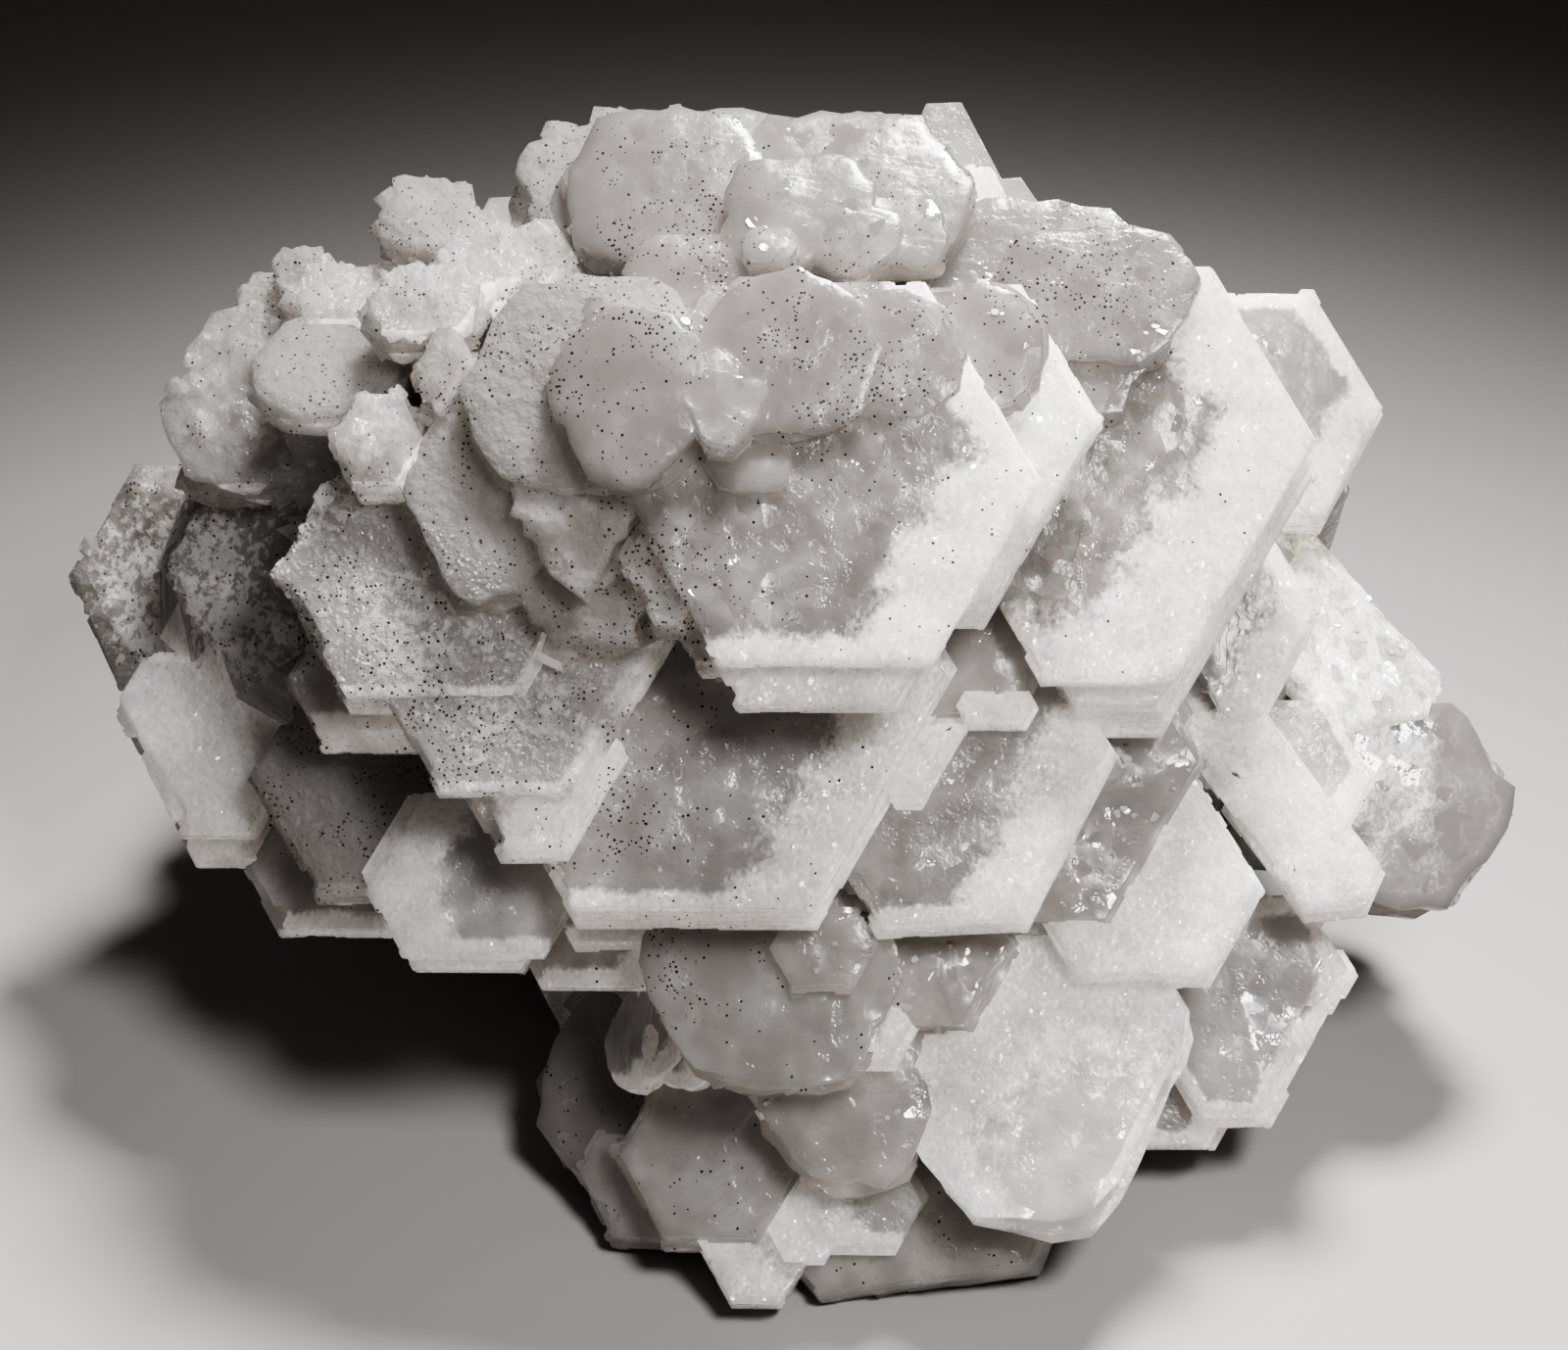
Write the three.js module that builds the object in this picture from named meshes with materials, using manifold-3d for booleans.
// Poker chip calcite: one intergrown cluster of flat six-sided calcite plates, in millimetres, +Z up.
// The plates grow in near parallel, like stacked chips, with their faces turned out and up. They step down
// from a summit in the middle, and the cluster rests on its broken underside.
import * as THREE from "three";
import { mergeVertices } from "three/addons/utils/BufferGeometryUtils.js";
import Module from "manifold-3d";

const wasm = await Module();
wasm.setup();

// Driving dimensions.
const LEAN = 40; // degrees above the horizon of the line from the heart to the eye
const HEART_HEIGHT = 33; // mm from the ground to the heart, the middle of the cluster
const EYE = 360; // mm from the heart to the eye that the places below were measured from
const FACE_RISE = 9; // degrees that a plate's face turns up from the eye's line
const FACE_SWING = -4; // degrees that it turns aside, towards the left
const LAYER = 1.5; // mm, one growth layer, the thickness of a chip
const CHIP_OVERLAP = 1.4; // chip thickness over the layer's, so that each is grown into the next
const LAYER_SPREAD = [0.15, 0.9]; // mm that a side of each deeper layer stands out, the least and the most
const ROOT_DEPTH = 17; // mm that a crystal's root reaches back into the mass
const ROOT_SHARE = 0.88; // root width as a share of its plate
const ROOT_TAPER = 0.5; // root width at its inner end as a share of that
const ROUND_SEGMENTS = 12; // sides of a chip whose corners are rounded off
const ROUND_SWELL = 1.04; // reach of those sides' corners over their middle, which keeps the chip's width
const SHORTEST_SIDE = 0.3; // mm that a side keeps when its neighbours cut it short
const SIDE_ANGLES = [30, 90, 150, 210, 270, 330]; // degrees, the six sides of a plate
const SHORTEST_EDGE = 0.35; // mm, anything finer is joined away
const STEADY_FACE = 0.97; // cosine of the most that a face may turn when an edge is joined
const SLIMMEST_FACE = 0.0025; // mm2, twice the least area of a face that an edge's joining leaves
const WELD = 1e-4; // mm within which corners are one
const MILKY_WHITE = "#b9b6b2";

// Crystals of the seen side: name, [across, up, out] of the middle of the face as the eye sees it,
// the distances from there to the six sides in the order of SIDE_ANGLES, and what sets one apart:
// layers (how many chips thick), round (0 six-sided, 1 a disc), rise and swing (extra degrees up and
// aside), twist (degrees in its own plane).
const CRYSTALS = [
  ["summit", [2, 15.9, 38], [16.6, 17.2, 16, 13.8, 15.2, 16.6], { layers: 1 }],
  ["summit_ledge", [2.4, 13.5, 35.6], [16, 16, 15.2, 13.4, 16.2, 14], { layers: 2 }],
  ["summit_flank", [8, 20.7, 34.4], [15.2, 12, 12, 12, 15, 15.4], { layers: 3 }],
  ["right_flag", [26.4, 18.3, 27], [15.8, 16, 13.6, 13.8, 19.2, 14.6], { layers: 1 }],
  ["right_flag_ledge", [26.4, 17.5, 24.6], [15, 15.6, 13.2, 12, 20.2, 14], { layers: 4 }],
  ["heart_plate", [-6.4, -2.5, 28], [18.4, 12, 16, 18, 17, 15.8], { layers: 1 }],
  ["heart_plate_ledge", [-6.4, -2.5, 26.6], [18.4, 12, 16, 17.6, 17.2, 15.9], { layers: 3 }],
  ["left_scale", [-29.6, 7.9, 30], [12, 8.8, 11.2, 10.6, 9.8, 12], { layers: 3 }],
  ["middle_scale", [-20.8, 2.3, 30.5], [12, 8, 9.6, 12.6, 12.2, 9], { layers: 2 }],
  ["lower_scale", [-19.2, -5.7, 29.6], [4.8, 8, 8.8, 7.8, 9, 5.6], { layers: 2 }],
  ["crown_chip", [-12, 23.9, 41], [6.8, 7.2, 7, 6.8, 8.6, 6], { round: 0.8, layers: 2 }],
  ["crown_block", [-4.4, 22.7, 41], [3.8, 4.6, 3.4, 4, 5, 3.4], { swing: 6, layers: 2 }],
  ["shoulder_disc", [-16, 23.1, 36], [10.4, 10.2, 10.4, 9.6, 8, 8], { round: 0.8, layers: 2 }],
  ["dusty_disc", [-24.8, 15.1, 33], [7.2, 8.4, 6.8, 6, 8.8, 7.2], { round: 0.7, layers: 2 }],
  ["ragged_column", [-17.6, 15.1, 37], [5.6, 7.2, 5, 4.8, 7.2, 5.6], { round: 0.4, layers: 3 }],
  ["ragged_foot", [-16.6, 6, 34], [5, 4, 4.6, 4.4, 3.4, 5], { round: 0.3, layers: 2 }],
  ["pale_chip", [-34, 19.5, 31.5], [3.6, 3.8, 3.2, 3.4, 3.8, 3.6], { round: 0.5, layers: 2 }],
  ["tilted_disc", [-38, 25.9, 24], [6, 6.4, 6, 6, 6.4, 6], { round: 1, rise: 42, layers: 2 }],
  ["rim_disc", [-43.4, 22.1, 17], [6.8, 8.6, 8.4, 7.8, 6.6, 6.8], { round: 0.8, swing: -8, layers: 3 }],
  ["tongue", [-29.2, 25.9, 33.5], [2.6, 3, 2.4, 2.4, 3.2, 2.4], { round: 0.4, layers: 2 }],
  ["ridge_chip", [-30, 31.1, 30], [3.8, 3.4, 3.6, 3.6, 3.4, 3.8], { round: 0.7, rise: 15, layers: 2 }],
  ["ridge_peak", [-29.4, 38.1, 20], [4, 4, 4.4, 4, 3, 4], { round: 0.5, rise: 20, layers: 2 }],
  ["ridge_knob_left", [-40, 33.9, 17], [2.4, 2, 2.4, 2.4, 2, 2.4], { round: 0.5, rise: 15, layers: 2 }],
  ["ridge_knob_low", [-42.6, 31.1, 15], [2.2, 2.2, 2.2, 2.2, 2, 2.2], { rise: 10, layers: 2 }],
  ["ridge_slope", [-36, 31.9, 20], [4.4, 3, 4.4, 4.4, 3.4, 4.4], { rise: 25, layers: 2 }],
  ["ridge_saddle", [-23.2, 35.1, 24], [5, 3.4, 5, 5, 3.4, 5], { rise: 25, layers: 2 }],
  ["dome_left", [-8.8, 40.3, 23], [8.8, 8.4, 9.2, 8.2, 6, 7.2], { round: 0.8, rise: 20, layers: 3 }],
  ["dome_far_left", [-15.2, 40.3, 16], [6, 7.4, 7, 6, 5.8, 5.8], { round: 0.6, rise: 20, layers: 2 }],
  ["dome_right", [4.8, 39.5, 25], [9.8, 8.4, 9.6, 8, 5.6, 9.6], { rise: 18, layers: 3 }],
  ["dome_bubble", [1.2, 39.4, 29], [5.6, 4, 5.6, 5, 3.8, 5.2], { round: 1, rise: 20, layers: 2 }],
  ["dome_ledge", [3.6, 35.5, 32], [7.6, 2.6, 7.6, 7, 2.4, 7.2], { rise: 5, layers: 2 }],
  ["dome_spark", [16, 40.3, 21], [1.8, 1.8, 1.8, 1.8, 1.6, 1.8], { layers: 2, root: 7 }],
  ["top_slab", [20, 30.3, 26], [12, 10.4, 10.2, 9.6, 9.4, 11], { rise: 10, layers: 2 }],
  ["top_slab_step", [25.8, 31.9, 28], [8.4, 6, 8, 7, 6.2, 7.4], { rise: 8, layers: 1 }],
  ["far_right_plate", [39.4, 22.3, 4], [9.2, 9.4, 8, 8, 9.2, 9.2], { swing: 12, round: 0.2, layers: 3 }],
  ["clear_plate", [51.8, -10.5, 5], [8.2, 8.6, 7.2, 7.2, 8.8, 8], { swing: 10, round: 0.3, layers: 3 }],
  ["right_spark", [48.8, -21.3, 8], [1.8, 1.4, 1.8, 1.8, 1.4, 1.6], { layers: 2, root: 7 }],
  ["bright_spar", [47.6, 3.6, 3], [3.2, 8.9, 7, 7, 8.1, 7.7], { twist: 7, swing: 18, layers: 2 }],
  ["flag_shadow", [38.4, 5, 14], [5.4, 9, 6, 6, 8.4, 5], { swing: 12, layers: 2 }],
  ["right_sail", [41.6, -10.5, 15], [3.2, 8, 9.8, 4.2, 8.8, 9.4], { twist: 6, layers: 2 }],
  ["right_sail_back", [43.6, -8.1, 11.5], [4.4, 6, 6.4, 4, 6, 4.8], { swing: 6, layers: 3 }],
  ["right_skirt", [37.6, -25.7, 8], [8.6, 7.2, 7.2, 8, 10.4, 7.1], { layers: 3 }],
  ["right_skirt_hem", [32.8, -33.7, 5], [6, 6, 6, 6, 5.4, 4.4], { layers: 2 }],
  ["lower_sail", [22.4, -29.7, 18], [10.4, 9.6, 12, 14.4, 15.4, 9.8], { round: 0.2, twist: 3, layers: 3 }],
  ["lower_sail_top", [30.4, -19.3, 20], [8.6, 10, 8, 8, 5.8, 7], { layers: 2 }],
  ["hollow_strip", [13.6, -7.3, 24.4], [12, 9.6, 9.6, 12, 13.2, 11.2], { twist: 3, layers: 2 }],
  ["hollow_floor", [20.8, -10.5, 19], [13.4, 8.8, 9.6, 9.6, 10, 10], { layers: 2 }],
  ["hollow_chip", [10.4, -6.5, 26], [4, 4, 4, 4, 4.2, 3.6], { layers: 1 }],
  ["hollow_ledge", [17.2, -2.5, 27], [2.6, 2, 2.6, 2.6, 2, 2.8], { layers: 2 }],
  ["belly_plate", [-3.2, -24.1, 22], [12, 7, 8, 7.2, 9.6, 12], { round: 0.3, layers: 3 }],
  ["belly_fold", [4.8, -32.1, 17.4], [9, 8, 8, 7.2, 9.4, 9], { round: 0.3, layers: 2 }],
  ["belly_chip", [3.2, -22.5, 24], [3.8, 2.8, 3.8, 3.9, 3.4, 3.8], { layers: 1 }],
  ["belly_knob", [7.6, -28.9, 20.6], [2.6, 2.6, 2.8, 3, 3.2, 2.6], { layers: 2 }],
  ["under_chip", [-16, -21.7, 15], [5, 4, 4.4, 4.7, 4, 5], { layers: 2 }],
  ["under_chip_top", [-14.4, -19.3, 18], [4, 3, 3.4, 3.6, 2.8, 4], { layers: 2 }],
  ["left_window", [-25.6, -16.1, 22.4], [8, 6.4, 7, 8.6, 6.9, 8.4], { layers: 1 }],
  ["left_window_ledge", [-25.9, -16.2, 21], [8, 6.4, 7.6, 8.2, 7.5, 7.4], { layers: 2 }],
  ["smoky_plate", [-33.6, -8.9, 18], [8.8, 8, 9.4, 8.6, 9, 8.8], { layers: 2 }],
  ["smoky_plate_low", [-36, -15.3, 11.5], [7.2, 6.4, 6.4, 7.4, 5.8, 7.2], { layers: 3 }],
  ["left_flag", [-48.8, -5.7, 10], [4.8, 7.2, 7.8, 4, 7.2, 7.6], { swing: -6, layers: 2 }],
  ["left_flag_low", [-48, -6.5, 6], [5, 7, 7.6, 5, 8.3, 7.4], { swing: -6, layers: 2 }],
  ["crusted_wing", [-48.4, 9.5, 3], [8, 7.8, 9.6, 10.6, 9, 8], { swing: -14, layers: 2 }],
  ["crusted_plate", [-43.6, 10.3, 12], [7.2, 6.8, 6.4, 6.8, 8, 7.2], { swing: -4, layers: 3 }],
  ["under_scale", [-35.6, -0.1, 24.6], [6.4, 5.6, 4.8, 4.8, 4.4, 6.4], { layers: 3 }],
  ["low_left_disc", [-12, -34.5, 5], [7.6, 8.4, 8.4, 8.8, 8, 7.6], { round: 0.8, swing: -12, layers: 2 }],
  ["low_disc", [-4, -40.1, 11], [7.2, 7, 7, 7, 6.4, 7.2], { round: 0.6, layers: 2 }],
  ["low_petal", [-10.8, -29.7, 13], [3.4, 4.6, 3, 3, 3.6, 3.4], { round: 0.5, swing: -28, layers: 2 }],
  ["low_hexagon", [-2, -46.5, 12.4], [4.6, 4.8, 4.4, 4.1, 5.5, 4.6], { rise: 4, layers: 2 }],
  ["low_hexagon_second", [1.6, -44.9, 13.4], [3.6, 3.4, 3.4, 3.2, 3.8, 3.4], { rise: 4, layers: 1 }],
  ["low_hexagon_third", [5.6, -43.7, 14], [5, 3.4, 4.6, 4.4, 3.6, 5], { layers: 2 }],
  ["low_hem", [12, -44.9, 11], [10, 5, 9, 11.4, 5.6, 8], { twist: 6, layers: 3 }],
  ["low_rubble", [-11.2, -44.1, 6], [6, 6, 6, 4.4, 4.8, 6.6], { round: 0.2, swing: -8, layers: 2 }],
];

// A seeded random number from 0 to 1, the same on each run.
function randomFrom(seed) {
  let state = seed;
  return () => {
    state = (state + 0x6d2b79f5) | 0;
    let mixed = Math.imul(state ^ (state >>> 15), 1 | state);
    mixed = (mixed + Math.imul(mixed ^ (mixed >>> 7), 61 | mixed)) ^ mixed;
    return ((mixed ^ (mixed >>> 14)) >>> 0) / 4294967296;
  };
}

// A closed geometry as a solid that can be joined and cut.
function solidOf(geometry) {
  const bare = geometry.clone();
  bare.deleteAttribute("normal");
  bare.deleteAttribute("uv");
  const merged = mergeVertices(bare, WELD);
  return new wasm.Manifold(
    new wasm.Mesh({
      numProp: 3,
      vertProperties: merged.attributes.position.array,
      triVerts: new Uint32Array(merged.index.array),
    }),
  );
}

// A solid's surface as a geometry.
function meshOf(solid) {
  const { numProp, vertProperties, triVerts } = solid.getMesh();
  return new THREE.BufferGeometry()
    .setAttribute("position", new THREE.BufferAttribute(new Float32Array(vertProperties), numProp))
    .setIndex(new THREE.BufferAttribute(triVerts, 1));
}

// Joins the ends of each edge shorter than the limit, where that keeps the surface closed and unfolded.
function withoutShortEdges(geometry, limit) {
  const points = Array.from({ length: geometry.attributes.position.count }, (_, i) =>
    new THREE.Vector3().fromBufferAttribute(geometry.attributes.position, i));
  const index = geometry.index.array;
  const triangles = Array.from({ length: index.length / 3 }, (_, i) =>
    Array.from(index.subarray(3 * i, 3 * i + 3)));
  const around = points.map(() => new Set());
  triangles.forEach((corners) => corners.forEach((corner) => around[corner].add(corners)));
  const neighbours = (v) => new Set([...around[v]].flat().filter((other) => other !== v));
  const facing = (corners) => {
    const [a, b, c] = corners.map((corner) => points[corner]);
    return new THREE.Vector3().subVectors(b, a).cross(new THREE.Vector3().subVectors(c, a));
  };

  const canJoin = (kept, lost) => {
    const near = neighbours(lost);
    const shared = [...neighbours(kept)].filter((v) => near.has(v));
    if (shared.length !== 2) return false;
    return [...around[lost]].filter((corners) => !corners.includes(kept)).every((corners) => {
      const before = facing(corners).normalize();
      const after = facing(corners.map((corner) => (corner === lost ? kept : corner)));
      return after.length() > SLIMMEST_FACE && after.normalize().dot(before) > STEADY_FACE;
    });
  };

  const join = (kept, lost) => {
    for (const corners of [...around[lost]]) {
      if (corners.includes(kept)) {
        corners.forEach((corner) => around[corner].delete(corners));
        corners.length = 0;
      } else {
        corners[corners.indexOf(lost)] = kept;
        around[kept].add(corners);
      }
    }
    around[lost].clear();
  };

  let joined = 1;
  while (joined > 0) {
    joined = 0;
    for (const corners of triangles)
      for (let i = 0; i < 3 && corners.length; i++) {
        const [kept, lost] = [corners[i], corners[(i + 1) % 3]];
        if (points[kept].distanceTo(points[lost]) >= limit) continue;
        const pair = [[kept, lost], [lost, kept]].find(([a, b]) => canJoin(a, b));
        if (!pair) continue;
        join(...pair);
        joined++;
      }
  }
  const kept = triangles.filter((corners) => corners.length).flat();
  const used = [...new Set(kept)];
  const renumbered = new Map(used.map((v, i) => [v, i]));
  return new THREE.BufferGeometry()
    .setFromPoints(used.map((v) => points[v]))
    .setIndex(kept.map((v) => renumbered.get(v)));
}

// The outline of a plate: six corners where neighbouring sides meet, or a rounded disc between them.
function plateOutline(sides, round) {
  const after = (i) => (i + 1) % 6;
  const before = (i) => (i + 5) % 6;
  const kept = sides.map((side, i) => Math.min(side, sides[before(i)] + sides[after(i)] - SHORTEST_SIDE));
  if (round === 0)
    return kept.map((side, i) => {
      const along = (kept[after(i)] - side / 2) / Math.sin(Math.PI / 3);
      const angle = THREE.MathUtils.degToRad(SIDE_ANGLES[i]);
      return new THREE.Vector2(side, along).rotateAround(new THREE.Vector2(), angle);
    });

  const reachOfHexagon = (turn) => Math.min(...kept.map((side, i) => {
    const facing = Math.cos(THREE.MathUtils.degToRad(turn + SIDE_ANGLES[0] - SIDE_ANGLES[i]));
    return facing > 0 ? side / facing : Infinity;
  }));
  return Array.from({ length: ROUND_SEGMENTS }, (_, n) => {
    const turn = (360 / ROUND_SEGMENTS) * n;
    const i = Math.floor(turn / 60);
    const share = THREE.MathUtils.smoothstep((turn % 60) / 60, 0, 1);
    const reachOfDisc = THREE.MathUtils.lerp(kept[i], kept[after(i)], share) * ROUND_SWELL;
    const reach = THREE.MathUtils.lerp(reachOfHexagon(turn), reachOfDisc, round);
    const angle = THREE.MathUtils.degToRad(turn + SIDE_ANGLES[0]);
    return new THREE.Vector2(reach, 0).rotateAround(new THREE.Vector2(), angle);
  });
}

// A prism from an outline, between two levels, with its lower end drawn in to a share of its width.
function prism(outline, top, bottom, endShare = 1) {
  const shape = new THREE.Shape(outline);
  const geometry = new THREE.ExtrudeGeometry(shape, { depth: top - bottom, bevelEnabled: false });
  geometry.translate(0, 0, bottom);
  const { position } = geometry.attributes;
  for (let i = 0; i < position.count; i++)
    if (position.getZ(i) < (top + bottom) / 2)
      position.setXY(i, position.getX(i) * endShare, position.getY(i) * endShare);
  return solidOf(geometry);
}

// One crystal about its own face: chips from the face down, and the tapered root that holds them.
function crystalSolids(sides, { layers = 2, round = 0, root = ROOT_DEPTH }, random) {
  const solids = [];
  let grown = sides;
  for (let layer = 0; layer < layers; layer++) {
    const top = -LAYER * layer;
    solids.push(prism(plateOutline(grown, round), top, top - LAYER * CHIP_OVERLAP));
    grown = grown.map((side) => side + THREE.MathUtils.lerp(...LAYER_SPREAD, random()));
  }
  const rootOutline = plateOutline(sides.map((side) => side * ROOT_SHARE), round);
  solids.push(prism(rootOutline, -LAYER * layers, -LAYER * layers - root, ROOT_TAPER));
  return solids;
}

// The frame that the outlines were measured in: across, up and out toward the eye, about the heart.
const lean = THREE.MathUtils.degToRad(LEAN);
const eyeFrame = new THREE.Matrix4()
  .makeBasis(
    new THREE.Vector3(1, 0, 0),
    new THREE.Vector3(0, Math.sin(lean), Math.cos(lean)),
    new THREE.Vector3(0, -Math.cos(lean), Math.sin(lean)),
  )
  .setPosition(0, 0, HEART_HEIGHT);

// Where a crystal of the seen side stands. What is nearer the eye looks larger, so it is really smaller.
function seenPlace([across, up, out], { rise = 0, swing = 0, twist = 0 }) {
  const nearness = (EYE - out) / EYE;
  const turn = new THREE.Euler(
    -THREE.MathUtils.degToRad(FACE_RISE + rise),
    THREE.MathUtils.degToRad(FACE_SWING + swing),
    THREE.MathUtils.degToRad(twist),
    "YXZ",
  );
  return new THREE.Matrix4().compose(
    new THREE.Vector3(across * nearness, up * nearness, out),
    new THREE.Quaternion().setFromEuler(turn),
    new THREE.Vector3(nearness, nearness, 1),
  ).premultiply(eyeFrame);
}

function seenCrystals() {
  const random = randomFrom(3);
  return CRYSTALS.flatMap(([, place, sides, form]) => {
    const matrix = seenPlace(place, form);
    return crystalSolids(sides, form, random).map((solid) => solid.transform(matrix.elements));
  });
}

// The mass that the crystals grew on: rough lumps, given in the same frame by middle and half size.
// The first is the heart, the second the belly, the third the left shoulder, the last the hind foot.
const LUMPS = [
  [[0, 5, -6], [44, 33.5, 31]],
  [[8, -24, -8], [28, 22, 19]],
  [[-32, 6, 0], [20, 18, 16]],
  [[-2, -8, -22], [30, 18, 16]],
];
const LUMP_ROUGHNESS = 0.05; // how far a lump's corners stand in or out, as a share of its size

function lumpSolids() {
  const random = randomFrom(11);
  return LUMPS.map(([middle, half]) => {
    const bare = new THREE.IcosahedronGeometry(1, 2);
    bare.deleteAttribute("normal");
    bare.deleteAttribute("uv");
    const geometry = mergeVertices(bare, WELD);
    const corner = new THREE.Vector3();
    for (let i = 0; i < geometry.attributes.position.count; i++) {
      corner.fromBufferAttribute(geometry.attributes.position, i);
      corner.multiplyScalar(1 + LUMP_ROUGHNESS * (2 * random() - 1));
      geometry.attributes.position.setXYZ(i, ...corner.toArray());
    }
    return solidOf(geometry.scale(...half).translate(...middle)).transform(eyeFrame.elements);
  });
}

// The side turned away: chips of the same habit, spread over the back of the heart by a spiral.
// Toward the rim they are smaller and face straight out of it, so that none shows from the front.
const BACK_COUNT = 30;
const BACK_SIZE = [7, 14]; // mm from the middle of a chip to its sides, at the rim and at the back
const BACK_UNEVEN = [0.8, 1.15]; // the least and the most of that for any one side
const BACK_ROOT = 4; // mm
const BACK_DEPTH = [-0.05, 0.96]; // how far back the first and the last chip stand, as a share of the heart
const BACK_RIM = 0.4; // chips nearer the front than this grow along the top only,
const BACK_TOP = 0.2; // which is above this share of the heart
const BACK_THICKNESS = 1.9; // how many times thicker than one layer its chips are
const BACK_RISE = 3; // mm that a chip's face stands out of the heart
const BACK_AXIS = new THREE.Vector3(0.1, 0.35, -0.93); // the way that the chips of the back tend to face
const BACK_SAMENESS = 0.55; // how near to parallel they are

function backCrystals() {
  const random = randomFrom(5);
  const [middle, half] = LUMPS[0].map((numbers) => new THREE.Vector3(...numbers));
  const goldenAngle = Math.PI * (3 - Math.sqrt(5));
  return Array.from({ length: BACK_COUNT }, (_, i) => {
    const depth = THREE.MathUtils.lerp(...BACK_DEPTH, i / (BACK_COUNT - 1));
    const ring = Math.sqrt(1 - depth * depth);
    const turn = i * goldenAngle;
    const direction = new THREE.Vector3(ring * Math.cos(turn), ring * Math.sin(turn), -depth);
    if (depth < BACK_RIM && direction.y < BACK_TOP) return [];
    const outward = direction.clone().divide(half).normalize();
    const place = direction.multiply(half).add(middle).addScaledVector(outward, BACK_RISE);
    const facing = outward.lerp(BACK_AXIS, BACK_SAMENESS * Math.max(depth, 0)).normalize();
    const matrix = new THREE.Matrix4().compose(
      place,
      new THREE.Quaternion().setFromUnitVectors(new THREE.Vector3(0, 0, 1), facing),
      new THREE.Vector3(1, 1, BACK_THICKNESS),
    ).premultiply(eyeFrame);
    const size = THREE.MathUtils.lerp(...BACK_SIZE, Math.max(depth, 0));
    const sides = SIDE_ANGLES.map(() => size * THREE.MathUtils.lerp(...BACK_UNEVEN, random()));
    const form = { layers: 1, root: BACK_ROOT };
    return crystalSolids(sides, form, random).map((solid) => solid.transform(matrix.elements));
  }).flat();
}

// What reached below the ground is cut off flat.
const GROUND_BLOCK = 400; // mm
const ground = solidOf(
  new THREE.BoxGeometry(GROUND_BLOCK, GROUND_BLOCK, GROUND_BLOCK).translate(0, 0, -GROUND_BLOCK / 2),
);
const grown = [...lumpSolids(), ...seenCrystals(), ...backCrystals()];
const joined = wasm.Manifold.union(grown).subtract(ground);
// Pockets that the crystals closed off inside are solid calcite: only the outer skin is kept.
const cluster = joined.decompose().reduce((a, b) => (a.volume() > b.volume() ? a : b));
const geometry = withoutShortEdges(meshOf(cluster), SHORTEST_EDGE);
geometry.computeBoundingBox();
geometry.computeVertexNormals();

const calcite = new THREE.Mesh(
  geometry,
  new THREE.MeshStandardMaterial({ color: MILKY_WHITE, roughness: 0.35, metalness: 0 }),
);
calcite.name = "calcite_cluster";
const middle = geometry.boundingBox.getCenter(new THREE.Vector3());
calcite.position.set(-middle.x, -middle.y, 0);

export default new THREE.Group().add(calcite);
